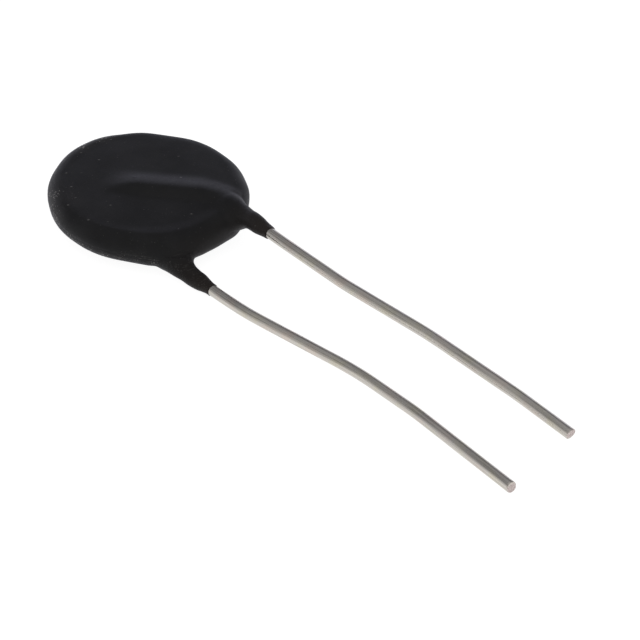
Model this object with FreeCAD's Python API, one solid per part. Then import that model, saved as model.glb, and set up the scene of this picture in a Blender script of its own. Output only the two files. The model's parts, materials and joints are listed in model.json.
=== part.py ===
import FreeCAD, Part
import math
import os
from FreeCAD import Vector

# All lengths in millimetres. The model is drawn about the middle of the ceramic disc,
# with the leads running out along +X, and moved onto its resting plane at the end.

# Ceramic body and its two fired silver electrodes
CERAMIC_DIA = 15.0
CERAMIC_THICK = 1.6
CERAMIC_CHAMFER = 0.2
SILVER_INSET = 0.5
SILVER_THICK = 0.05

# Tinned copper lead wire, soldered on a thin film of solder
WIRE_DIA = 1.0
SOLDER_FILM = 0.05

# Epoxy coating: thickness over the silver and round the ceramic, and its round edge
COAT_FACE = 0.75
COAT_RIM = 1.25
COAT_EDGE = 1.45

# Uneven outline of the dipped edge, as flats that round off into one another: how far
# each flat stands outside the round, in equal turns from the one that faces +X. The
# coating gathered between the leads and drew back at one side.
FLATS_OUTSIDE = (0.60, 0.50, 0.14, -0.21, -0.50, -0.14, 0.17, -0.04, -0.22, -0.19, 0.04, 0.60)
CORNER_SHARE = 0.46  # share of a side that each of its two corner arcs takes

SILVER_TOP = CERAMIC_THICK / 2 + SILVER_THICK
WIRE_Z = SILVER_TOP + SOLDER_FILM + WIRE_DIA / 2
FACE_Z = SILVER_TOP + COAT_FACE
COAT_RADIUS = CERAMIC_DIA / 2 + COAT_RIM

# Lead wire on the disc: a slanting run over the middle, one bend, then out over the rim.
# The lower lead is the same form turned over, so that the two runs cross.
RUN_LENGTH = 6.8
RUN_SLANT = 39.1
BEND_INSIDE_RIM = 4.05
BEND_X = COAT_RADIUS - BEND_INSIDE_RIM
BEND_Y = 3.45
BEND_RADIUS = 3.0
SLEEVE_REACH = 4.45  # coating along the wire past the rim
STRAIGHT_OUT = 1.0  # straight wire past the sleeve
SLEEVE_END_X = COAT_RADIUS + SLEEVE_REACH

# Corners of each bare lead in plan, the heights of its ends and its soft hand-bent corners
TOP_EXIT_Y = 2.98
TOP_CORNERS = ((22.6, 3.02), (32.2, 3.76), (42.6, 3.85), (49.04, 3.62))
TOP_TIP_Z = 0.25
BOTTOM_EXIT_Y = 3.63
BOTTOM_CORNERS = ((17.6, 3.56), (29.6, 2.04), (36.8, 2.07), (48.95, 2.91))
BOTTOM_TIP_Z = 1.7
SOFT_BEND = 32.0
SHEAR_TILT = 9.0

# Coating over each lead: a low round ridge that dives into the face past the wire's inner
# end, lifts over the rim to the wire's own line, and thins along it to a bare film
RIDGE_RADIUS = 1.5
RIDGE_COVER = 0.15
DIVE_BACK = 6.7  # from the bend back to the dive
DIVE_SLOPE = 30.0
DIVE_RADIUS = 4.0
DIVE_RUN = 1.1
LIFT_INSIDE_RIM = 1.8
LIFT_LEAN = 0.04  # towards the other lead
LIFT_RADIUS = 3.0
NECK_RADIUS = 0.76
NECK_BACK = 2.4  # from the end of the sleeve back to its neck
NECK_BEND_RADIUS = 4.0
SLEEVE_FILM = 0.04
TAPER_EASE = 0.35
TAPER_EASE_RADIUS = 2.0
BLEND = 0.9

# Solder heaped along the slanting run: its length past the wire's end and beside the wire
SOLDER_PAST_END = 0.7
SOLDER_LENGTH = 6.6
SOLDER_WIDTH = 2.4
SOLDER_HEIGHT = 0.7
SOLDER_NECK = 1.1


def round_corners(points, radii):
    """Edges of a wire through the points, each inner corner turned into a tangent arc."""
    edges = []
    start = points[0]
    for i, radius in enumerate(radii):
        before, corner, after = points[i : i + 3]
        back = (before - corner).normalize()
        onward = (after - corner).normalize()
        half_turn = (math.pi - back.getAngle(onward)) / 2
        inward = (back + onward).normalize()
        first = corner + back * (radius * math.tan(half_turn))
        last = corner + onward * (radius * math.tan(half_turn))
        middle = corner + inward * (radius / math.cos(half_turn) - radius)
        edges.append(Part.LineSegment(start, first).toShape())
        edges.append(Part.Arc(first, middle, last).toShape())
        start = last
    edges.append(Part.LineSegment(start, points[-1]).toShape())
    return edges


def run_out(exit_y, x, z):
    """Point at x on the line that a lead takes in plan from its bend out past the sleeve."""
    share = (x - BEND_X) / (SLEEVE_END_X + STRAIGHT_OUT - BEND_X)
    return Vector(x, BEND_Y + (exit_y - BEND_Y) * share, z)


def run_in(distance, z):
    """Point on the slanting run at a distance before its bend."""
    slant = math.radians(RUN_SLANT)
    return Vector(BEND_X - distance * math.cos(slant), BEND_Y - distance * math.sin(slant), z)


def wire_path(exit_y, corners, tip_z):
    """Middle line of one lead as it lies on the upper side, from the disc to its cut tip."""
    exit_point = run_out(exit_y, SLEEVE_END_X + STRAIGHT_OUT, WIRE_Z)
    points = [run_in(RUN_LENGTH, WIRE_Z), run_in(0, WIRE_Z), exit_point]
    for x, y in corners:
        fall = (WIRE_Z - tip_z) * (x - exit_point.x) / (corners[-1][0] - exit_point.x)
        points.append(Vector(x, y, WIRE_Z - fall))
    return round_corners(points, [BEND_RADIUS] + [SOFT_BEND] * (len(points) - 3))


def tube(edges, radius):
    """Solid of one radius along joined edges."""
    profile = Part.Circle(edges[0].valueAt(0), edges[0].tangentAt(0), radius).toShape()
    return Part.Wire(edges).makePipeShell([Part.Wire([profile])], True, True)


def lead(path):
    """Round wire swept along its path and sheared off slightly askew at the tip."""
    wire = tube(path, WIRE_DIA / 2)
    end = path[-1]
    tip, out = end.valueAt(end.LastParameter), end.tangentAt(end.LastParameter)
    lean = FreeCAD.Rotation(Vector(0, 1, 0), SHEAR_TILT)
    slack = WIRE_DIA / 2 * math.tan(math.radians(SHEAR_TILT))
    waste = Part.makeCylinder(2 * WIRE_DIA, WIRE_DIA, tip - out * slack, lean.multVec(out))
    return wire.cut(waste)


def taper(edge, wide, narrow):
    """Turned taper along a straight edge, eased into what follows at both ends."""
    start, end, along = edge.valueAt(0), edge.valueAt(edge.LastParameter), edge.tangentAt(0)
    up = along.cross(Vector(0, 1, 0)).normalize()
    ease = along * TAPER_EASE
    side = [start + up * wide, start + ease + up * wide, end - ease + up * narrow, end + up * narrow]
    outline = round_corners(side, [TAPER_EASE_RADIUS, TAPER_EASE_RADIUS])
    outline.append(Part.LineSegment(side[-1], end).toShape())
    outline.append(Part.LineSegment(end, start).toShape())
    outline.append(Part.LineSegment(start, side[0]).toShape())
    return Part.Face(Part.Wire(outline)).revolve(start, along, 360)


def flow(exit_y):
    """Coating over one lead: ridge on the face, lift over the rim and sleeve."""
    ridge_z = WIRE_Z + WIRE_DIA / 2 + RIDGE_COVER - RIDGE_RADIUS
    buried_z = ridge_z - DIVE_RUN * math.tan(math.radians(DIVE_SLOPE))
    lift = run_out(exit_y, COAT_RADIUS - LIFT_INSIDE_RIM, ridge_z) - Vector(0, LIFT_LEAN, 0)
    points = [
        run_in(DIVE_BACK + DIVE_RUN, buried_z),
        run_in(DIVE_BACK, ridge_z),
        run_in(0, ridge_z),
        lift,
        run_out(exit_y, SLEEVE_END_X - NECK_BACK, WIRE_Z),
        run_out(exit_y, SLEEVE_END_X, WIRE_Z),
    ]
    path = round_corners(points, [DIVE_RADIUS, BEND_RADIUS, LIFT_RADIUS, NECK_BEND_RADIUS])
    ridge = tube(path[:6], RIDGE_RADIUS)
    lifted = taper(path[6], RIDGE_RADIUS, NECK_RADIUS)
    neck = tube(path[7:8], NECK_RADIUS)
    sleeve = taper(path[8], NECK_RADIUS, WIRE_DIA / 2 + SLEEVE_FILM)
    return ridge.fuse([lifted, neck, sleeve])


def solder(path):
    """Solder drawn up both sides of the wire, on the silver, along the slanting run."""
    foot, neck = SOLDER_WIDTH / 2, SOLDER_NECK / 2
    hollow = Vector((foot + 2 * neck) / 3, 0, SOLDER_HEIGHT / 3)
    left, right = Vector(-foot, 0, 0), Vector(foot, 0, 0)
    left_neck, right_neck = Vector(-neck, 0, SOLDER_HEIGHT), Vector(neck, 0, SOLDER_HEIGHT)
    outline = Part.Wire([
        Part.LineSegment(left, right).toShape(),
        Part.Arc(right, hollow, right_neck).toShape(),
        Part.LineSegment(right_neck, left_neck).toShape(),
        Part.Arc(left_neck, Vector(-hollow.x, 0, hollow.z), left).toShape(),
    ])
    heap = Part.Face(outline).extrude(Vector(0, SOLDER_LENGTH, 0))
    start, heading = path[0].valueAt(0), path[0].tangentAt(0)
    heap.translate(Vector(0, -SOLDER_PAST_END, 0))
    heap.rotate(Vector(0, 0, 0), Vector(0, 0, 1), math.degrees(math.atan2(-heading.x, heading.y)))
    heap.translate(Vector(start.x, start.y, SILVER_TOP))
    return heap.cut(lead(path))


def coated_disc():
    """Flat dipped disc with a round edge and the uneven outline."""
    step = 2 * math.pi / len(FLATS_OUTSIDE)
    corners = []
    for i, outside in enumerate(FLATS_OUTSIDE):
        a, b = step * (i - 1), step * i
        reach_a, reach_b = COAT_RADIUS + FLATS_OUTSIDE[i - 1], COAT_RADIUS + outside
        x = (reach_a * math.sin(b) - reach_b * math.sin(a)) / math.sin(step)
        y = (reach_b * math.cos(a) - reach_a * math.cos(b)) / math.sin(step)
        corners.append(Vector(x, y, -FACE_Z))
    edges = []
    for i, corner in enumerate(corners):
        back = corners[i - 1] - corner
        onward = corners[(i + 1) % len(corners)] - corner
        cut = CORNER_SHARE * min(back.Length, onward.Length)
        back.normalize()
        onward.normalize()
        half_turn = (math.pi - back.getAngle(onward)) / 2
        inward = (back + onward).normalize()
        rise = cut * (1 / math.sin(half_turn) - 1 / math.tan(half_turn))
        first, last = corner + back * cut, corner + onward * cut
        arc = Part.Arc(first, corner + inward * rise, last).toShape()
        if edges:
            edges.append(Part.LineSegment(edges[-1].Vertexes[-1].Point, first).toShape())
        edges.append(arc)
    edges.append(Part.LineSegment(edges[-1].Vertexes[-1].Point, edges[0].Vertexes[0].Point).toShape())
    disc = Part.Face(Part.Wire(edges)).extrude(Vector(0, 0, 2 * FACE_Z))
    rims = [edge for edge in disc.Edges if abs(edge.CenterOfMass.z) > FACE_Z - 1e-6]
    return disc.makeFillet(COAT_EDGE, rims)


def blended(disc, flows):
    """Disc and flows in one, with the creases between them filled by a soft meniscus."""
    dipped = disc.fuse(flows)
    creases = []
    for edge in dipped.Edges:
        middle = Part.Vertex(edge.valueAt((edge.FirstParameter + edge.LastParameter) / 2))
        on_disc = middle.distToShape(disc.Shells[0])[0] < 1e-4
        on_flow = min(middle.distToShape(one.Shells[0])[0] for one in flows) < 1e-4
        if on_disc and on_flow:
            creases.append(edge)
    return dipped.makeFillet(BLEND, creases)


def turned_over(shape):
    """Copy of a shape on the other side of the disc."""
    copy = shape.copy()
    copy.rotate(Vector(0, 0, 0), Vector(1, 0, 0), 180)
    return copy


def build():
    ceramic = Part.makeCylinder(CERAMIC_DIA / 2, CERAMIC_THICK, Vector(0, 0, -CERAMIC_THICK / 2))
    rims = [edge for edge in ceramic.Edges if edge.Length > CERAMIC_DIA]
    ceramic = ceramic.makeChamfer(CERAMIC_CHAMFER, rims)
    silver_radius = CERAMIC_DIA / 2 - SILVER_INSET
    silver = Part.makeCylinder(silver_radius, SILVER_THICK, Vector(0, 0, CERAMIC_THICK / 2))

    top_path = wire_path(TOP_EXIT_Y, TOP_CORNERS, TOP_TIP_Z)
    bottom_path = wire_path(BOTTOM_EXIT_Y, BOTTOM_CORNERS, BOTTOM_TIP_Z)

    parts = {
        "ceramic_disc": ceramic,
        "electrode_top": silver,
        "electrode_bottom": turned_over(silver),
        "solder_top": solder(top_path),
        "solder_bottom": turned_over(solder(bottom_path)),
        "lead_top": lead(top_path),
        "lead_bottom": turned_over(lead(bottom_path)),
    }
    dipped = blended(coated_disc(), [flow(TOP_EXIT_Y), turned_over(flow(BOTTOM_EXIT_Y))])
    parts["coating"] = dipped.cut(list(parts.values()))
    return parts


def main():
    parts = build()
    box = Part.makeCompound(list(parts.values())).optimalBoundingBox(False, False)
    shift = Vector(-(box.XMin + box.XMax) / 2, -(box.YMin + box.YMax) / 2, -box.ZMin)
    os.makedirs("parts", exist_ok=True)
    for node, shape in parts.items():
        shape.translate(shift)
        shape.exportStep("parts/" + node + ".step")


main()
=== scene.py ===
import json
import math

import bmesh
import bpy
import numpy as np
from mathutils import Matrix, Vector, noise
from mathutils.bvhtree import BVHTree


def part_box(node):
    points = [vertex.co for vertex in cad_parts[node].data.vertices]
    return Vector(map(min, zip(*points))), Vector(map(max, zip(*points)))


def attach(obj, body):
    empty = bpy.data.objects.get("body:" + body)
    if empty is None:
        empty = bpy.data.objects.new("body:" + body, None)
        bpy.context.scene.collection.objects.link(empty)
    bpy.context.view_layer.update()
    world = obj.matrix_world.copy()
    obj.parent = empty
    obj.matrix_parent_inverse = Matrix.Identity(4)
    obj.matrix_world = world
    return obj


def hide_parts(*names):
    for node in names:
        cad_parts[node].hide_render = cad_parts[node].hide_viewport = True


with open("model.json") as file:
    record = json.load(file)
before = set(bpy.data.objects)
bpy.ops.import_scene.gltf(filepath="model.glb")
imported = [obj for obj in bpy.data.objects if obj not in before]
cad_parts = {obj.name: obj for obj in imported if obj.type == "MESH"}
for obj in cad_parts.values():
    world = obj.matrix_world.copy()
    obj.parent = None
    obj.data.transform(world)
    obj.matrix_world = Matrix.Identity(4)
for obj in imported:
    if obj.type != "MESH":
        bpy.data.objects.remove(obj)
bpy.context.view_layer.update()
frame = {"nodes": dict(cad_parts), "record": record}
MM = 0.001

# Ceramic disc
# The resistor itself: a disc of sintered manganese and nickel oxides, pressed, fired and
# lapped flat. It lies inside the coating and carries the silver on both of its faces.


def rgb(hex_colour):
    """Linear colour with alpha from an sRGB hex value."""
    shares = [int(hex_colour[i : i + 2], 16) / 255 for i in (1, 3, 5)]
    return [s / 12.92 if s <= 0.04045 else ((s + 0.055) / 1.055) ** 2.4 for s in shares] + [1.0]


def add_node(tree, kind, links=None, **settings):
    """Node of a kind with its settings, and its inputs by name or number: a value or a socket."""
    node = tree.nodes.new(kind)
    for name, value in settings.items():
        setattr(node, name, value)
    for name, value in (links or {}).items():
        if isinstance(value, bpy.types.NodeSocket):
            tree.links.new(value, node.inputs[name])
        else:
            node.inputs[name].default_value = value
    return node


def new_material(name):
    """Empty node material: its tree and the socket that its surface shader goes into."""
    material = bpy.data.materials.new(name)
    material.use_nodes = True
    material.node_tree.nodes.clear()
    output = add_node(material.node_tree, "ShaderNodeOutputMaterial")
    return material, material.node_tree, output.inputs["Surface"]


def give(node_name, material):
    """The CAD node shows this material."""
    mesh = frame["nodes"][node_name].data
    mesh.materials.clear()
    mesh.materials.append(material)


# Sintered oxide ceramic, lapped: near black, dull, with grains a tenth of a millimetre wide
ceramic, tree, surface = new_material("sintered_oxide_ceramic")
GRAIN_MM = 0.1
place = add_node(tree, "ShaderNodeTexCoord")
grains = add_node(tree, "ShaderNodeTexVoronoi", {
    "Vector": place.outputs["Object"],
    "Scale": 1 / (GRAIN_MM * MM),
})
tone = add_node(tree, "ShaderNodeValToRGB", {"Fac": grains.outputs["Distance"]})
tone.color_ramp.elements[0].color = rgb("#3a3a3b")
tone.color_ramp.elements[1].color = rgb("#48484a")
relief = add_node(tree, "ShaderNodeBump", {
    "Height": grains.outputs["Distance"],
    "Strength": 0.2,
    "Distance": 0.01 * MM,
})
shader = add_node(tree, "ShaderNodeBsdfPrincipled", {
    "Base Color": tone.outputs["Color"],
    "Normal": relief.outputs["Normal"],
    "Roughness": 0.62,
})
tree.links.new(shader.outputs[0], surface)
give("ceramic_disc", ceramic)

# Silver electrodes
# Silver paste screened onto both faces of the ceramic and fired: a white, matt metal film
# a twentieth of a millimetre thick that stops short of the disc's edge.

# Fired silver paste: porous, so it is rough and nearly white, with flakes of 20 micrometres
silver, tree, surface = new_material("fired_silver_paste")
FLAKE_MM = 0.05  # drawn coarser than the real flakes
place = add_node(tree, "ShaderNodeTexCoord")
flakes = add_node(tree, "ShaderNodeTexNoise", {
    "Vector": place.outputs["Object"],
    "Scale": 1 / (FLAKE_MM * MM),
})
tone = add_node(tree, "ShaderNodeValToRGB", {"Fac": flakes.outputs["Fac"]})
tone.color_ramp.elements[0].color = rgb("#d2cec4")
tone.color_ramp.elements[1].color = rgb("#ece9e1")
relief = add_node(tree, "ShaderNodeBump", {
    "Height": flakes.outputs["Fac"],
    "Strength": 0.25,
    "Distance": 0.01 * MM,
})
shader = add_node(tree, "ShaderNodeBsdfPrincipled", {
    "Base Color": tone.outputs["Color"],
    "Normal": relief.outputs["Normal"],
    "Metallic": 1.0,
    "Roughness": 0.5,
})
tree.links.new(shader.outputs[0], surface)
give("electrode_top", silver)
give("electrode_bottom", silver)

# Solder
# Tin-silver solder drawn up both sides of each wire where the dipped disc was pulled out
# of the pot. It holds the wire to the silver under the coating.

# Tin-silver solder, frozen in the air: bright grey with a frosty skin of fine crystals
solder, tree, surface = new_material("tin_silver_solder")
CRYSTAL_MM = 0.25
place = add_node(tree, "ShaderNodeTexCoord")
crystals = add_node(tree, "ShaderNodeTexVoronoi", {
    "Vector": place.outputs["Object"],
    "Scale": 1 / (CRYSTAL_MM * MM),
})
tone = add_node(tree, "ShaderNodeValToRGB", {"Fac": crystals.outputs["Distance"]})
tone.color_ramp.elements[0].color = rgb("#b4b5b8")
tone.color_ramp.elements[1].color = rgb("#cdced0")
relief = add_node(tree, "ShaderNodeBump", {
    "Height": crystals.outputs["Distance"],
    "Strength": 0.3,
    "Distance": 0.01 * MM,
})
shader = add_node(tree, "ShaderNodeBsdfPrincipled", {
    "Base Color": tone.outputs["Color"],
    "Normal": relief.outputs["Normal"],
    "Metallic": 1.0,
    "Roughness": 0.38,
})
tree.links.new(shader.outputs[0], surface)
give("solder_top", solder)
give("solder_bottom", solder)

# Lead wires
# Two lengths of drawn copper wire, hot-dipped in tin. The bare part was bent by hand, and
# the tips were sheared off, which left a faint burr and shows the copper's grain.
WELD_GAP = 0.0005 * MM
WIRE_GRID = 0.05 * MM
WIRE_SMOOTHING = 5
DRAW_WAVE = 0.006 * MM  # how far the drawn surface wanders from round
WAVE_LONG = 2.5 * MM
WAVE_WIDE = 0.5 * MM
CUT_DEPTH = 0.12 * MM
CUT_FACING = 0.6  # least share of the cut's direction in the normals of its faces


def merged_copy(node_name):
    """Mesh of a CAD node with its loose triangles joined, as a bmesh."""
    body = bmesh.new()
    body.from_mesh(frame["nodes"][node_name].data)
    bmesh.ops.remove_doubles(body, verts=body.verts, dist=WELD_GAP)
    return body


def new_piece(name, body):
    """Object of a bmesh, which is freed."""
    mesh = bpy.data.meshes.new(name)
    body.to_mesh(mesh)
    body.free()
    piece = bpy.data.objects.new(name, mesh)
    bpy.context.scene.collection.objects.link(piece)
    return piece


def regridded(piece, grid):
    """The piece's mesh made again as an even net of that spacing, as a bmesh."""
    remesh = piece.modifiers.new("net", "REMESH")
    remesh.mode = "VOXEL"
    remesh.voxel_size = grid
    evaluated = piece.evaluated_get(bpy.context.evaluated_depsgraph_get())
    net = bmesh.new()
    net.from_mesh(evaluated.to_mesh())
    evaluated.to_mesh_clear()
    bpy.data.meshes.remove(piece.data)
    return net


def smooth(body, verts, passes):
    """Even out the places of some vertices, a little more with each pass."""
    for _ in range(passes):
        bmesh.ops.smooth_vert(
            body, verts=verts, factor=0.5, use_axis_x=True, use_axis_y=True, use_axis_z=True
        )
    body.normal_update()


def finish_mesh(body, name):
    """Object of a finished bmesh, smooth shaded, with its faces turned outwards."""
    bmesh.ops.recalc_face_normals(body, faces=body.faces)
    for face in body.faces:
        face.smooth = True
    return new_piece(name, body)


def vertex_places(mesh):
    """Where the mesh's vertices are, one row of x, y and z for each."""
    places = np.empty(len(mesh.vertices) * 3)
    mesh.vertices.foreach_get("co", places)
    return places.reshape(-1, 3)


def write_vectors(mesh, name, vectors):
    """Attribute of the mesh with one vector for each vertex."""
    layer = mesh.attributes.new(name, "FLOAT_VECTOR", "POINT")
    layer.data.foreach_set("vector", vectors.ravel())


def drawn_coordinates(mesh):
    """Attribute that runs straight along a bent wire: x along it, y and z from its middle line."""
    places = vertex_places(mesh)
    step = 0.5 * MM
    bins = np.floor((places[:, 0] - places[:, 0].min()) / step).astype(int)
    counts = np.bincount(bins)
    middles = [np.bincount(bins, places[:, axis]) / counts for axis in range(3)]
    straight = places.copy()
    straight[:, 1] -= np.interp(places[:, 0], middles[0], middles[1])
    straight[:, 2] -= np.interp(places[:, 0], middles[0], middles[2])
    write_vectors(mesh, "drawn", straight)


# Hot-dipped tin over copper: a soft grey metal that the die left with lengthwise streaks,
# and that handling and air have tinted olive, pink and grey in patches
tinned, tree, surface = new_material("hot_dipped_tin")
STREAK_LONG_MM = 6.0
STREAK_WIDE_MM = 0.12
PATCH_MM = 1.6
along = add_node(tree, "ShaderNodeAttribute", attribute_name="drawn")
stretched = add_node(tree, "ShaderNodeVectorMath", {
    0: along.outputs["Vector"],
    1: (1 / (STREAK_LONG_MM * MM), 1 / (STREAK_WIDE_MM * MM), 1 / (STREAK_WIDE_MM * MM)),
}, operation="MULTIPLY")
streaks = add_node(tree, "ShaderNodeTexNoise", {
    "Vector": stretched.outputs["Vector"],
    "Scale": 1.0,
    "Detail": 3.0,
})
patches = add_node(tree, "ShaderNodeTexNoise", {
    "Vector": along.outputs["Vector"],
    "Scale": 1 / (PATCH_MM * MM),
    "Detail": 2.0,
})
patch_tint = add_node(tree, "ShaderNodeValToRGB", {"Fac": patches.outputs["Fac"]})
patch_tint.color_ramp.elements[0].position = 0.32
patch_tint.color_ramp.elements[0].color = rgb("#beb9ac")
patch_tint.color_ramp.elements[1].position = 0.68
patch_tint.color_ramp.elements[1].color = rgb("#c0b7af")
middle_tint = patch_tint.color_ramp.elements.new(0.5)
middle_tint.color = rgb("#bdb9b3")
streak_tone = add_node(tree, "ShaderNodeMapRange", {
    "Value": streaks.outputs["Fac"],
    "From Min": 0.35,
    "From Max": 0.65,
    "To Min": 0.8,
    "To Max": 1.08,
})
tin_colour = add_node(tree, "ShaderNodeVectorMath", {
    0: patch_tint.outputs["Color"],
    "Scale": streak_tone.outputs["Result"],
}, operation="SCALE")
tin_roughness = add_node(tree, "ShaderNodeMapRange", {
    "Value": streaks.outputs["Fac"],
    "From Min": 0.3,
    "From Max": 0.7,
    "To Min": 0.22,
    "To Max": 0.36,
})
draw_lines = add_node(tree, "ShaderNodeBump", {
    "Height": streaks.outputs["Fac"],
    "Strength": 0.5,
    "Distance": 0.012 * MM,
})
shader = add_node(tree, "ShaderNodeBsdfPrincipled", {
    "Base Color": tin_colour.outputs["Vector"],
    "Roughness": tin_roughness.outputs["Result"],
    "Normal": draw_lines.outputs["Normal"],
    "Metallic": 1.0,
})
tree.links.new(shader.outputs[0], surface)

# Sheared wire end: torn copper with tin wiped over it, a pale pinkish grey and matt
sheared, tree, surface = new_material("sheared_copper_end")
TEAR_MM = 0.12
place = add_node(tree, "ShaderNodeTexCoord")
tears = add_node(tree, "ShaderNodeTexNoise", {
    "Vector": place.outputs["Object"],
    "Scale": 1 / (TEAR_MM * MM),
    "Detail": 3.0,
})
tone = add_node(tree, "ShaderNodeValToRGB", {"Fac": tears.outputs["Fac"]})
tone.color_ramp.elements[0].position = 0.35
tone.color_ramp.elements[0].color = rgb("#b09f9c")
tone.color_ramp.elements[1].position = 0.65
tone.color_ramp.elements[1].color = rgb("#dcd2ce")
relief = add_node(tree, "ShaderNodeBump", {
    "Height": tears.outputs["Fac"],
    "Strength": 0.6,
    "Distance": 0.02 * MM,
})
shader = add_node(tree, "ShaderNodeBsdfPrincipled", {
    "Base Color": tone.outputs["Color"],
    "Normal": relief.outputs["Normal"],
    "Metallic": 0.6,
    "Roughness": 0.5,
})
tree.links.new(shader.outputs[0], surface)

mounts = {mount["name"]: mount for mount in frame["record"]["mounts"]}
for side in ("top", "bottom"):
    rough = new_piece("cad_wire", merged_copy("lead_" + side))
    wire = regridded(rough, WIRE_GRID)
    smooth(wire, wire.verts, WIRE_SMOOTHING)
    for vert in wire.verts:
        in_waves = Vector((vert.co.x / WAVE_LONG, vert.co.y / WAVE_WIDE, vert.co.z / WAVE_WIDE))
        vert.co += vert.normal * noise.noise(in_waves) * DRAW_WAVE
    mount = mounts[f"lead_{side}_tip"]
    out = Vector(mount["axis"]).normalized()
    tip = Vector(mount["pos_m"]) + out * mount["dims"]["length_mm"] / 2 * MM
    for face in wire.faces:
        at_the_tip = (face.calc_center_median() - tip).dot(out) > -CUT_DEPTH
        face.material_index = 1 if at_the_tip and face.normal.dot(out) > CUT_FACING else 0
    piece = finish_mesh(wire, f"tinned_wire_{side}")
    drawn_coordinates(piece.data)
    piece.data.materials.append(tinned)
    piece.data.materials.append(sheared)
    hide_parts("lead_" + side)
    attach(piece, "root")

# Coating
# Black epoxy that the soldered disc was dipped in, hung by its leads. It drew into a soft
# ridge over each wire, ran a little way down both, and cured matt with dust and grains in it.
COATING_GRID = 0.105 * MM
COATING_SMOOTHING = 4
FACE_SMOOTHING = 26
SLUMP_WIDE = 5.0 * MM  # the slow swells that the wet epoxy set with, and how high they are
SLUMP = 0.05 * MM
SLUMP_LOST = 0.8  # share of the slump that is gone on the sleeves
SLEEVE_ROOT = 2.0 * MM  # length over which it goes
PEEL_WIDE = 0.9 * MM  # its orange peel, and how deep that is
PEEL = 0.006 * MM
THINNEST_FILM = 0.05 * MM
END_DEPTH = 0.15 * MM  # a sleeve's end face lies this near the skin's furthest point
END_FACING = 0.9
CUTTER_REACH = 1.0 * MM

# Split the CAD skin at the two sleeve ends into its outside and the cavity round the insides
skin = merged_copy("coating")
skin_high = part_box("coating")[1]
sleeve_ends = [
    face for face in skin.faces
    if face.normal.x > END_FACING and min(vert.co.x for vert in face.verts) > skin_high.x - END_DEPTH
]
bmesh.ops.delete(skin, geom=sleeve_ends, context="FACES")
outside = {min(skin.faces, key=lambda face: face.calc_center_median().x)}
edge_of_search = list(outside)
while edge_of_search:
    face = edge_of_search.pop()
    for edge in face.edges:
        for other in edge.link_faces:
            if other not in outside:
                outside.add(other)
                edge_of_search.append(other)
cavity = skin.copy()
skin.faces.index_update()
cavity.faces.ensure_lookup_table()
skin_cavity = [face for face in skin.faces if face not in outside]
cavity_outside = [cavity.faces[face.index] for face in outside]
bmesh.ops.delete(skin, geom=skin_cavity, context="FACES")
bmesh.ops.delete(cavity, geom=cavity_outside, context="FACES")
bmesh.ops.holes_fill(skin, edges=[edge for edge in skin.edges if edge.is_boundary], sides=0)

# The cavity runs on past the sleeve ends, so that its cut leaves them open for the wires
rims = [edge for edge in cavity.edges if edge.is_boundary]
run_on = bmesh.ops.extrude_edge_only(cavity, edges=rims)
run_on_verts = [part for part in run_on["geom"] if isinstance(part, bmesh.types.BMVert)]
bmesh.ops.translate(cavity, verts=run_on_verts, vec=(CUTTER_REACH, 0, 0))
bmesh.ops.holes_fill(cavity, edges=[edge for edge in cavity.edges if edge.is_boundary], sides=0)
bmesh.ops.recalc_face_normals(cavity, faces=cavity.faces)
cutter = new_piece("insides", cavity)

# Dipped skin on an even net, slumped and softened as the epoxy was before it set
dipped = regridded(new_piece("cad_skin", skin), COATING_GRID)
smooth(dipped, dipped.verts, COATING_SMOOTHING)
ceramic_low, ceramic_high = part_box("ceramic_disc")
disc_middle = (ceramic_low + ceramic_high) / 2
face_reach = (ceramic_high.x - ceramic_low.x) / 2
face_verts = [
    vert for vert in dipped.verts
    if math.hypot(vert.co.x - disc_middle.x, vert.co.y - disc_middle.y) < face_reach
]
smooth(dipped, face_verts, FACE_SMOOTHING)

# The ridge over the upper wire sagged to one side: a long slope behind it and a short one in
# front. The line is the wire's middle over the face, in millimetres from the disc's middle.
RIDGE_LINE = (
    (-2.9, -2.78), (-0.6, -0.9), (4.1, 2.86), (4.6, 3.14), (5.1, 3.3), (5.7, 3.37), (9.0, 3.26),
)
RIDGE_HEIGHT = 0.5 * MM
RIDGE_SAG = 0.82 * MM
SAG_LOST = 0.7  # share of the sag that is gone where the ridge meets the rim
LONG_SLOPE = 2.7 * MM
SHORT_SLOPE = 1.35 * MM
LONG_FOOT = (LONG_SLOPE, LONG_SLOPE + 0.8 * MM)
SHORT_FOOT = (-2.2 * MM, -1.3 * MM)
CREST_EDGE = 0.3  # share of the height past which the ridge counts as crest
RIDGE_SMOOTHING = 8

# Stretches of the way along that line, in millimetres: where the ridge grows out of the face,
# where it bends towards the sleeve, where it loses its sag and where it runs out over the rim
GROWS = (0.0, 4.0)
BENDS = (8.8, 9.8)
LOSES_SAG = (9.2, 12.5)
RUNS_OUT = (10.2, 13.0)


def eased(value, start, end):
    """Smooth step from 0 at the start to 1 at the end."""
    share = min(1.0, max(0.0, (value - start) / (end - start)))
    return share * share * (3 - 2 * share)


def along_line(x, y, line):
    """Nearest place on a line of points: the way along it, and the distance to its left side."""
    nearest, travelled = None, 0.0
    for (x0, y0), (x1, y1) in zip(line, line[1:]):
        length = math.hypot(x1 - x0, y1 - y0)
        ahead = ((x1 - x0) / length, (y1 - y0) / length)
        share = min(length, max(0.0, (x - x0) * ahead[0] + (y - y0) * ahead[1]))
        off = (x - x0 - ahead[0] * share, y - y0 - ahead[1] * share)
        gap = math.hypot(*off)
        if nearest is None or gap < abs(nearest[1]):
            left = off[1] * ahead[0] - off[0] * ahead[1]
            nearest = (travelled + share, math.copysign(gap, left))
        travelled += length
    return nearest


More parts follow.
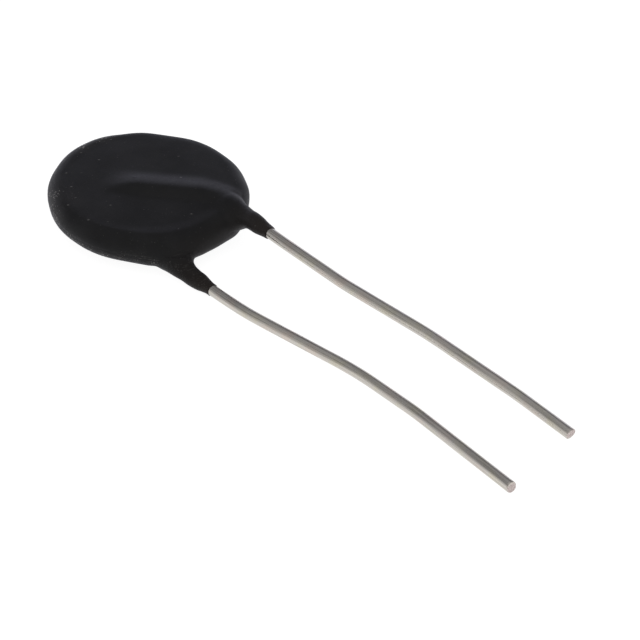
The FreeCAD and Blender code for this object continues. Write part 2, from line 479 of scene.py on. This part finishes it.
# The flat of the upper face gives its height. What is shaped faces up by at least this much,
# and lies no lower than this under the flat.
FLAT_FACING = 0.999
UPPER_FACING = 0.3
UPPER_DEPTH = 0.3 * MM
face_height = float(np.median([vert.co.z for vert in dipped.verts if vert.normal.z > FLAT_FACING]))
ridge_verts = []
for vert in dipped.verts:
    if vert.normal.z < UPPER_FACING or vert.co.z < face_height - UPPER_DEPTH:
        continue
    x, y = (vert.co.x - disc_middle.x) / MM, (vert.co.y - disc_middle.y) / MM
    travelled, beside = along_line(x, y, RIDGE_LINE)
    from_crest = beside * MM + RIDGE_SAG * (1 - SAG_LOST * eased(travelled, *LOSES_SAG))
    share = 1 - eased(abs(from_crest), 0, LONG_SLOPE if from_crest > 0 else SHORT_SLOPE)
    # The whole ridge is shaped as far as the bend, and only its crest from there on
    past_bend = eased(travelled, *BENDS)
    zone = eased(from_crest, *SHORT_FOOT) * (1 - eased(from_crest, *LONG_FOOT))
    zone *= (1 - eased(travelled, *RUNS_OUT)) * (1 - past_bend * (1 - eased(share, 0, CREST_EDGE)))
    if zone > 0:
        sagged = face_height + RIDGE_HEIGHT * eased(travelled, *GROWS) * share
        vert.co.z += zone * (sagged - vert.co.z)
        ridge_verts.append(vert)
smooth(dipped, ridge_verts, RIDGE_SMOOTHING)

# Its shoulder, where it turns down over the rim, drew smooth
SHOULDER = disc_middle + Vector((8.1, 3.4, 1.2)) * MM
SHOULDER_REACH = 1.7 * MM
SHOULDER_SMOOTHING = 16
shoulder_verts = [vert for vert in dipped.verts if (vert.co - SHOULDER).length < SHOULDER_REACH]
smooth(dipped, shoulder_verts, SHOULDER_SMOOTHING)

# Grains of dust cured into the face: place from the disc's middle, and size, in millimetres
DUST_GRAINS = (
    (-0.9, 4.6, 0.06), (1.9, 2.5, 0.09), (-4.7, -3.4, 0.05), (-3.6, -5.4, 0.06), (-5.2, -1.0, 0.04),
    (-5.6, -4.4, 0.07), (-2.6, -6.3, 0.05), (0.9, -4.7, 0.04), (6.6, -0.3, 0.08), (2.6, -6.4, 0.05),
    (1.2, -7.4, 0.08), (-7.2, -1.4, 0.06), (-1.7, -7.3, 0.07),
)
DUST_HEIGHT = 0.04 * MM

# The upper face falls a little towards the rim, and the rim's upper half is full
DOME_DROP = 0.08 * MM
DOME_FALLS = (4.6 * MM, 8.2 * MM)
RIM_FULLNESS = 0.075 * MM
RIM_STARTS = (6.8 * MM, 8.2 * MM)
RIM_ENDS = (8.9 * MM, 9.6 * MM)
UPPER_HALF = (-0.8 * MM, 0.8 * MM)

# The edge was drawn in at some places and gathered at others: angle and spread in degrees,
# and how far it was drawn in, in millimetres
EDGE_STARTS = (6.5 * MM, 8.2 * MM)
EDGE_DRAWS = ((130, 9, 0.12), (108, 9, -0.05), (156, 6, 0.05), (82, 9, 0.05), (48, 8, -0.05))

# The two tails are fuller at some places: place from the disc's middle and spread, the side
# that is filled, and by how much, in millimetres
TAIL_FULLNESS = (
    (9.3, -5.3, 1.6, (0, -1, 0), 0.24),
    (7.0, -5.1, 0.9, (0, -0.6, -0.8), 0.12),
    (10.1, -4.3, 1.2, (0, -0.8, -0.6), 0.1),
    (9.4, 4.2, 1.1, (0, 1, 0), 0.1),
    (8.8, 3.2, 1.1, (0.6, 0, -0.8), 0.22),
    (10.4, 3.8, 1.4, (0, 0.8, 0.6), 0.11),
    (13.0, 3.6, 0.8, (0, 0.8, 0.6), 0.12),
)


def turn_from(angle, turn):
    """Degrees from an angle to a turn, by the shorter way round."""
    return (turn - angle + 180) % 360 - 180


def bell(off, spread):
    """1 in the middle, falling smoothly to almost nothing at two spreads."""
    return math.exp(-((off / spread) ** 2))


grain_layer = dipped.verts.layers.float.new("grain")
for vert in dipped.verts:
    slump = noise.noise(vert.co / SLUMP_WIDE) * SLUMP
    peel = noise.noise(vert.co / PEEL_WIDE) * PEEL
    sleeve_share = min(1.0, max(0.0, (vert.co.x - ceramic_high.x) / SLEEVE_ROOT))
    vert.co += vert.normal * (slump * (1 - SLUMP_LOST * sleeve_share) + peel)
    off = vert.co - disc_middle
    reach = math.hypot(off.x, off.y)
    if off.z > 0:
        vert.co.z -= DOME_DROP * eased(reach, *DOME_FALLS)
    on_rim = eased(reach, *RIM_STARTS) * (1 - eased(reach, *RIM_ENDS))
    vert.co += vert.normal * RIM_FULLNESS * on_rim * eased(off.z, *UPPER_HALF)
    for x, y, spread, side, fullness in TAIL_FULLNESS:
        gap = math.hypot(off.x / MM - x, off.y / MM - y)
        on_side = max(0.0, vert.normal.dot(Vector(side)))
        vert.co += vert.normal * on_side * fullness * bell(gap, spread) * MM
    for angle, spread, drawn_in in EDGE_DRAWS:
        turn = turn_from(angle, math.degrees(math.atan2(off.y, off.x)))
        pull = drawn_in * bell(turn, spread) * eased(reach, *EDGE_STARTS) * MM
        vert.co.x -= off.x / reach * pull
        vert.co.y -= off.y / reach * pull
    if vert.co.z > disc_middle.z:
        for x, y, size in DUST_GRAINS:
            gap = math.hypot(vert.co.x - disc_middle.x - x * MM, vert.co.y - disc_middle.y - y * MM)
            if gap < 2 * size * MM:
                swell = math.exp(-((gap / (size * MM)) ** 2) * 2)
                vert[grain_layer] = max(vert[grain_layer], swell)
for vert in dipped.verts:
    vert.co += vert.normal * vert[grain_layer] * DUST_HEIGHT

# However it ran, it covers both wires with at least the thinnest film
for side in ("top", "bottom"):
    wire = merged_copy("lead_" + side)
    wire_surface = BVHTree.FromBMesh(wire)
    wire.free()
    for vert in dipped.verts:
        nearest, outward, _, _ = wire_surface.find_nearest(vert.co, 2 * THINNEST_FILM)
        if nearest is None:
            continue
        film = (vert.co - nearest).dot(outward)
        if film < THINNEST_FILM:
            vert.co += outward * (THINNEST_FILM - film)

# The finished skin, with room inside for the disc, the silver, the solder and the wires
uncut = finish_mesh(dipped, "uncut_coating")
hollow = uncut.modifiers.new("hollow", "BOOLEAN")
hollow.operation = "DIFFERENCE"
hollow.solver = "MANIFOLD"
hollow.object = cutter
depsgraph = bpy.context.evaluated_depsgraph_get()
coating_mesh = bpy.data.meshes.new_from_object(uncut.evaluated_get(depsgraph))
coating_mesh.name = "dipped_coating"
coating = bpy.data.objects.new("dipped_coating", coating_mesh)
bpy.context.scene.collection.objects.link(coating)
for helper in (uncut, cutter):
    bpy.data.meshes.remove(helper.data)

# Places where the part was rubbed, and high on the far rim where a pale haze is painted on
# as sheen: angle, reach and height from the disc's middle, their spreads in degrees and
# millimetres, and how much of the surface is marked there
WEAR_AND_SHEEN_PLACES = (
    # High on the rim, behind and at the far end: rubbed specks, and painted sheen on the far rim
    (58, 8.3, 0.8, 9, 0.8, 0.6),
    (150, 8.3, 1.2, 9, 0.8, 1.0),
    (168, 8.3, 1.2, 10, 0.9, 1.5),
    (185, 8.3, 1.2, 10, 0.9, 1.5),
    (200, 8.3, 1.0, 10, 0.8, 0.9),
    (212, 8.3, 0.8, 11, 0.8, 0.7),
    (226, 8.3, 0.8, 11, 0.9, 0.8),
    # Down the rim and along its lower half, in front
    (240, 8.3, 0.6, 12, 1.1, 1.3),
    (253, 8.4, 0.2, 10, 1.0, 1.4),
    (268, 8.4, -0.7, 12, 0.8, 1.3),
    (286, 8.5, -0.9, 14, 0.7, 1.3),
    (302, 8.5, -1.0, 14, 0.7, 1.3),
    (318, 8.8, -0.9, 10, 1.0, 1.2),
    # On the face, and on the two sleeves
    (250, 6.8, 1.6, 16, 1.2, 0.35),
    (336, 10.6, -0.6, 9, 1.6, 0.3),
    (341, 12.6, -0.6, 9, 1.6, 0.25),
    (18, 10.4, 0.8, 9, 1.6, 0.2),
    (14, 12.4, 0.9, 9, 1.6, 0.2),
)
WEAR_AND_SHEEN_ELSEWHERE = 0.06
RIM_RADIUS = 8.7 * MM
places = vertex_places(coating.data) - np.array(disc_middle)
turns = np.degrees(np.arctan2(places[:, 1], places[:, 0])) % 360
reaches = np.hypot(places[:, 0], places[:, 1])
wear_and_sheen = np.full(len(places), WEAR_AND_SHEEN_ELSEWHERE)
for angle, reach, height, turn_spread, spread, share in WEAR_AND_SHEEN_PLACES:
    turn_off = turn_from(angle, turns) / turn_spread
    gap = np.hypot(reaches / MM - reach, places[:, 2] / MM - height) / spread
    wear_and_sheen = np.maximum(wear_and_sheen, np.minimum(1, share * np.exp(-(turn_off**2) - gap**2)))
wear_and_sheen_layer = coating.data.attributes.new("wear_and_sheen", "FLOAT", "POINT")
wear_and_sheen_layer.data.foreach_set("value", wear_and_sheen)

# The way round the rim, how far out and how high, for marks that follow the rim
rim_path = np.column_stack((np.radians(turns) * RIM_RADIUS, reaches, places[:, 2]))
write_vectors(coating.data, "rim_path", rim_path)

# Cured epoxy dip: matt black with a dry bloom and a faint cool sheen at a glancing angle, a pale
# haze painted high on the far rim as sheen, and pale dust, specks and scuffs where it was rubbed.
# Its fine tooth breaks up reflections.
epoxy, tree, surface = new_material("cured_black_epoxy")
TOOTH_MM = 0.14
BLOOM_MM = 3.0
SPECK_MM = 0.22
SPECK_RAGGEDNESS = 0.35  # how far a speck's outline strays, as a share of its size
SPECK_PALENESS = 0.7
CLUSTER_MM = 0.8
SCUFF_LONG_MM = 1.6
SCUFF_WIDE_MM = 0.1
FLECK_MM = 0.16
FLECK_CROWDING = 0.17  # how much more of the tooth is rubbed off where the wear is full
DUST_PALENESS = 0.6
THIN_FILM = 5.0 * MM
place = add_node(tree, "ShaderNodeTexCoord")
tooth = add_node(tree, "ShaderNodeTexNoise", {
    "Vector": place.outputs["Object"],
    "Scale": 1 / (TOOTH_MM * MM),
    "Detail": 4.0,
    "Roughness": 0.6,
})
bloom = add_node(tree, "ShaderNodeTexNoise", {
    "Vector": place.outputs["Object"],
    "Scale": 1 / (BLOOM_MM * MM),
    "Detail": 3.0,
})
black = add_node(tree, "ShaderNodeValToRGB", {"Fac": bloom.outputs["Fac"]})
black.color_ramp.elements[0].position = 0.35
black.color_ramp.elements[0].color = rgb("#1f1f20")
black.color_ramp.elements[1].position = 0.65
black.color_ramp.elements[1].color = rgb("#252526")

# Sockets of a Mix node that mixes colours: its two inputs and its output
FIRST = 6
SECOND = 7
MIXED = 2

# Towards the sleeve ends the film thins, and the brown of the resin shows through the black
along_sleeve = add_node(tree, "ShaderNodeSeparateXYZ", {"Vector": place.outputs["Object"]})
thinning = add_node(tree, "ShaderNodeMapRange", {
    "Value": along_sleeve.outputs["X"],
    "From Min": skin_high.x - THIN_FILM,
    "From Max": skin_high.x,
    "To Min": 0.0,
    "To Max": 1.0,
})
resin = add_node(tree, "ShaderNodeMix", {
    "Factor": thinning.outputs["Result"],
    FIRST: black.outputs["Color"],
    SECOND: rgb("#2b2623"),
}, data_type="RGBA")

# Specks: small ragged cells, more of them and larger in the worn places, and in clusters
worn_and_sheen = add_node(tree, "ShaderNodeAttribute", attribute_name="wear_and_sheen")
ragged = add_node(tree, "ShaderNodeVectorMath", {
    0: tooth.outputs["Color"],
    1: (SPECK_MM * SPECK_RAGGEDNESS * MM,) * 3,
    2: place.outputs["Object"],
}, operation="MULTIPLY_ADD")
cells = add_node(tree, "ShaderNodeTexVoronoi", {
    "Vector": ragged.outputs["Vector"],
    "Scale": 1 / (SPECK_MM * MM),
})
cell_chance = add_node(tree, "ShaderNodeSeparateColor", {"Color": cells.outputs["Color"]})
clusters = add_node(tree, "ShaderNodeTexNoise", {
    "Vector": place.outputs["Object"],
    "Scale": 1 / (CLUSTER_MM * MM),
    "Detail": 2.0,
})
cluster_share = add_node(tree, "ShaderNodeMapRange", {
    "Value": clusters.outputs["Fac"],
    "From Min": 0.34,
    "From Max": 0.54,
    "To Min": 0.0,
    "To Max": 1.0,
})
crowd = add_node(tree, "ShaderNodeMath", {
    0: worn_and_sheen.outputs["Fac"],
    1: cluster_share.outputs["Result"],
}, operation="MULTIPLY")
luck = add_node(tree, "ShaderNodeMath", {
    0: crowd.outputs["Value"],
    1: cell_chance.outputs["Red"],
}, operation="SUBTRACT")
speck_radius = add_node(tree, "ShaderNodeMapRange", {
    "Value": luck.outputs["Value"],
    "From Min": 0.0,
    "From Max": 0.7,
    "To Min": 0.0,
    "To Max": 0.42,
})
speck = add_node(tree, "ShaderNodeMath", {
    0: cells.outputs["Distance"],
    1: speck_radius.outputs["Result"],
}, operation="LESS_THAN")
speck_tone = add_node(tree, "ShaderNodeMapRange", {
    "Value": cell_chance.outputs["Green"],
    "To Min": 0.25,
    "To Max": 1.0,
})
specks = add_node(tree, "ShaderNodeMath", {
    0: speck.outputs["Value"],
    1: speck_tone.outputs["Result"],
}, operation="MULTIPLY")

# Scuffs: fine broken lines that run along the rim, most of them low on it
rim_way = add_node(tree, "ShaderNodeAttribute", attribute_name="rim_path")
scuff_place = add_node(tree, "ShaderNodeVectorMath", {
    0: rim_way.outputs["Vector"],
    1: (1 / (SCUFF_LONG_MM * MM), 1 / (SCUFF_WIDE_MM * MM), 1 / (SCUFF_WIDE_MM * MM)),
}, operation="MULTIPLY")
scuff_noise = add_node(tree, "ShaderNodeTexNoise", {
    "Vector": scuff_place.outputs["Vector"],
    "Scale": 1.0,
    "Detail": 2.0,
})
scuff_line = add_node(tree, "ShaderNodeMapRange", {
    "Value": scuff_noise.outputs["Fac"],
    "From Min": 0.56,
    "From Max": 0.7,
    "To Min": 0.0,
    "To Max": 0.45,
})
rim_height = add_node(tree, "ShaderNodeSeparateXYZ", {"Vector": rim_way.outputs["Vector"]})
low_down = add_node(tree, "ShaderNodeMapRange", {
    "Value": rim_height.outputs["Z"],
    "From Min": 0.5 * MM,
    "From Max": -0.4 * MM,
    "To Min": 0.2,
    "To Max": 1.2,
})
low_scuffs = add_node(tree, "ShaderNodeMath", {
    0: scuff_line.outputs["Result"],
    1: low_down.outputs["Result"],
}, operation="MULTIPLY")
scuffs = add_node(tree, "ShaderNodeMath", {
    0: low_scuffs.outputs["Value"],
    1: crowd.outputs["Value"],
}, operation="MULTIPLY")

# Rubbed tooth: irregular pale flecks, more of them the harder a place was rubbed
flecks = add_node(tree, "ShaderNodeTexNoise", {
    "Vector": place.outputs["Object"],
    "Scale": 1 / (FLECK_MM * MM),
    "Detail": 2.0,
})
rubbed = add_node(tree, "ShaderNodeMath", {
    0: crowd.outputs["Value"],
    1: FLECK_CROWDING,
    2: flecks.outputs["Fac"],
}, operation="MULTIPLY_ADD")
fleck_tone = add_node(tree, "ShaderNodeMapRange", {
    "Value": rubbed.outputs["Value"],
    "From Min": 0.72,
    "From Max": 0.86,
    "To Min": 0.0,
    "To Max": 0.5,
})
rub_marks = add_node(tree, "ShaderNodeMath", {
    0: scuffs.outputs["Value"],
    1: fleck_tone.outputs["Result"],
}, operation="ADD")

# High on the rim the marked places get a soft grey haze rather than scuffs: a painted sheen,
# where the far rim catches the light at a glancing angle
painted_sheen_share = add_node(tree, "ShaderNodeMapRange", {
    "Value": rim_height.outputs["Z"],
    "From Min": 0.1 * MM,
    "From Max": 0.8 * MM,
    "To Min": 0.0,
    "To Max": 0.075,
})
marks_and_sheen = add_node(tree, "ShaderNodeMath", {
    0: worn_and_sheen.outputs["Fac"],
    1: painted_sheen_share.outputs["Result"],
    2: rub_marks.outputs["Value"],
}, operation="MULTIPLY_ADD")

# All that is pale on the black: the marks, the painted sheen high on the rim, the grains of dust
# and the specks
grain = add_node(tree, "ShaderNodeAttribute", attribute_name="grain")
dust_marks_and_sheen = add_node(tree, "ShaderNodeMath", {
    0: grain.outputs["Fac"],
    1: DUST_PALENESS,
    2: marks_and_sheen.outputs["Value"],
}, operation="MULTIPLY_ADD")
pale = add_node(tree, "ShaderNodeMath", {
    0: specks.outputs["Value"],
    1: SPECK_PALENESS,
    2: dust_marks_and_sheen.outputs["Value"],
}, operation="MULTIPLY_ADD", use_clamp=True)
epoxy_colour = add_node(tree, "ShaderNodeMix", {
    "Factor": pale.outputs["Value"],
    FIRST: resin.outputs[MIXED],
    SECOND: rgb("#9e9b99"),
}, data_type="RGBA")
epoxy_roughness = add_node(tree, "ShaderNodeMapRange", {
    "Value": tooth.outputs["Fac"],
    "From Min": 0.3,
    "From Max": 0.7,
    "To Min": 0.46,
    "To Max": 0.6,
})
tooth_relief = add_node(tree, "ShaderNodeBump", {
    "Height": tooth.outputs["Fac"],
    "Strength": 0.45,
    "Distance": 0.015 * MM,
})
shader = add_node(tree, "ShaderNodeBsdfPrincipled", {
    "Base Color": epoxy_colour.outputs[MIXED],
    "Roughness": epoxy_roughness.outputs["Result"],
    "Normal": tooth_relief.outputs["Normal"],
    "IOR": 1.5,
    "Specular IOR Level": 0.09,
    "Sheen Weight": 0.1,
    "Sheen Roughness": 0.35,
    "Sheen Tint": rgb("#dcdaff"),
})
tree.links.new(shader.outputs[0], surface)
coating.data.materials.clear()
coating.data.materials.append(epoxy)
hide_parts("coating")
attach(coating, "root")

# Table, light and camera
# A plain white table under a wide soft light, seen from above on the side of the leads. It
# glows towards the camera, so it looks white, and the part still throws a soft shadow on it.
TABLE_SIZE = 3.0
GLOWING_SHARE = 0.6  # the rest of the table is matt paper, which takes the shadow
GLOW = 1.54
MORE_IN_REFLECTIONS = 0.2
table = bmesh.new()
bmesh.ops.create_grid(table, x_segments=1, y_segments=1, size=TABLE_SIZE / 2)
floor = new_piece("table", table)
paper, tree, surface = new_material("white_table_paper")
ray = add_node(tree, "ShaderNodeLightPath")
seen = add_node(tree, "ShaderNodeMath", {
    0: ray.outputs["Is Camera Ray"],
    1: ray.outputs["Is Glossy Ray"],
}, operation="MAXIMUM")
seen_or_through = add_node(tree, "ShaderNodeMath", {
    0: seen.outputs["Value"],
    1: ray.outputs["Is Transmission Ray"],
}, operation="MAXIMUM")
glowing = add_node(tree, "ShaderNodeMath", {
    0: seen_or_through.outputs["Value"],
    1: GLOWING_SHARE,
}, operation="MULTIPLY")
matt = add_node(tree, "ShaderNodeBsdfDiffuse", {"Color": rgb("#e6e6e6")})
glow_strength = add_node(tree, "ShaderNodeMath", {
    0: ray.outputs["Is Glossy Ray"],
    1: MORE_IN_REFLECTIONS,
    2: GLOW,
}, operation="MULTIPLY_ADD")
glow = add_node(tree, "ShaderNodeEmission", {"Strength": glow_strength.outputs["Value"]})
both = add_node(tree, "ShaderNodeMixShader", {
    0: glowing.outputs["Value"],
    1: matt.outputs[0],
    2: glow.outputs[0],
})
tree.links.new(both.outputs[0], surface)
floor.data.materials.append(paper)

# A white light tent: bright and cool low down behind the table, dark above that, and
# softly lit from overhead and in front
world = bpy.data.worlds.new("light_tent")
world.use_nodes = True
tree = world.node_tree
direction = add_node(tree, "ShaderNodeTexCoord")
BACK_OF_TENT = (-0.742, 0.671, 0.0)  # the way the camera looks, level
TENT_STRENGTH = 2.0
towards_back = add_node(tree, "ShaderNodeVectorMath", {
    0: direction.outputs["Generated"],
    1: BACK_OF_TENT,
}, operation="DOT_PRODUCT")
behind = add_node(tree, "ShaderNodeMapRange", {
    "Value": towards_back.outputs["Value"],
    "From Min": -0.2,
    "From Max": 0.4,
    "To Min": 0.0,
    "To Max": 1.0,
}, interpolation_type="SMOOTHSTEP")
upwards = add_node(tree, "ShaderNodeSeparateXYZ", {"Vector": direction.outputs["Generated"]})
back_wall = add_node(tree, "ShaderNodeValToRGB", {"Fac": upwards.outputs["Z"]})
back_wall.color_ramp.interpolation = "EASE"
back_wall.color_ramp.elements[0].position = 0.16
back_wall.color_ramp.elements[0].color = (0.58, 0.585, 0.68, 1.0)
back_wall.color_ramp.elements[1].position = 0.42
back_wall.color_ramp.elements[1].color = (0.122, 0.122, 0.13, 1.0)
front_wall = add_node(tree, "ShaderNodeValToRGB", {"Fac": upwards.outputs["Z"]})
front_wall.color_ramp.interpolation = "EASE"
front_wall.color_ramp.elements[0].position = 0.1
front_wall.color_ramp.elements[0].color = (0.4, 0.395, 0.385, 1.0)
front_wall.color_ramp.elements[1].position = 0.8
front_wall.color_ramp.elements[1].color = (0.18, 0.18, 0.18, 1.0)
tent = add_node(tree, "ShaderNodeMix", {
    "Factor": behind.outputs["Result"],
    FIRST: front_wall.outputs["Color"],
    SECOND: back_wall.outputs["Color"],
}, data_type="RGBA")
tree.links.new(tent.outputs[MIXED], tree.nodes["Background"].inputs["Color"])
tree.nodes["Background"].inputs["Strength"].default_value = TENT_STRENGTH
bpy.context.scene.world = world

lamp_data = bpy.data.lights.new("soft_light", "AREA")
lamp_data.shape = "SQUARE"
lamp_data.size = 2.0
lamp_data.energy = 4.3
lamp = bpy.data.objects.new("soft_light", lamp_data)
lamp.location = (0.0, -0.1, 1.5)
lamp.rotation_euler = lamp.location.to_track_quat("Z", "Y").to_euler()
bpy.context.scene.collection.objects.link(lamp)

# The camera looks along the leads from the lower right, as in the photograph
AZIMUTH = math.radians(47.87)
ELEVATION = math.radians(37.0)
DISTANCE = 293.75 * MM
FIELD = math.radians(10.45)
AIM_FROM_DISC = Vector((23.853, -0.876, 0.0)) * MM
lens = bpy.data.cameras.new("camera")
lens.angle = FIELD
lens.clip_start = 0.01
camera = bpy.data.objects.new("camera", lens)
towards = Vector((
    math.sin(AZIMUTH) * math.cos(ELEVATION),
    -math.cos(AZIMUTH) * math.cos(ELEVATION),
    math.sin(ELEVATION),
))
camera.location = disc_middle + AIM_FROM_DISC + towards * DISTANCE
camera.rotation_euler = towards.to_track_quat("Z", "Y").to_euler()
bpy.context.scene.collection.objects.link(camera)
bpy.context.scene.camera = camera
bpy.context.scene.view_settings.view_transform = "Standard"
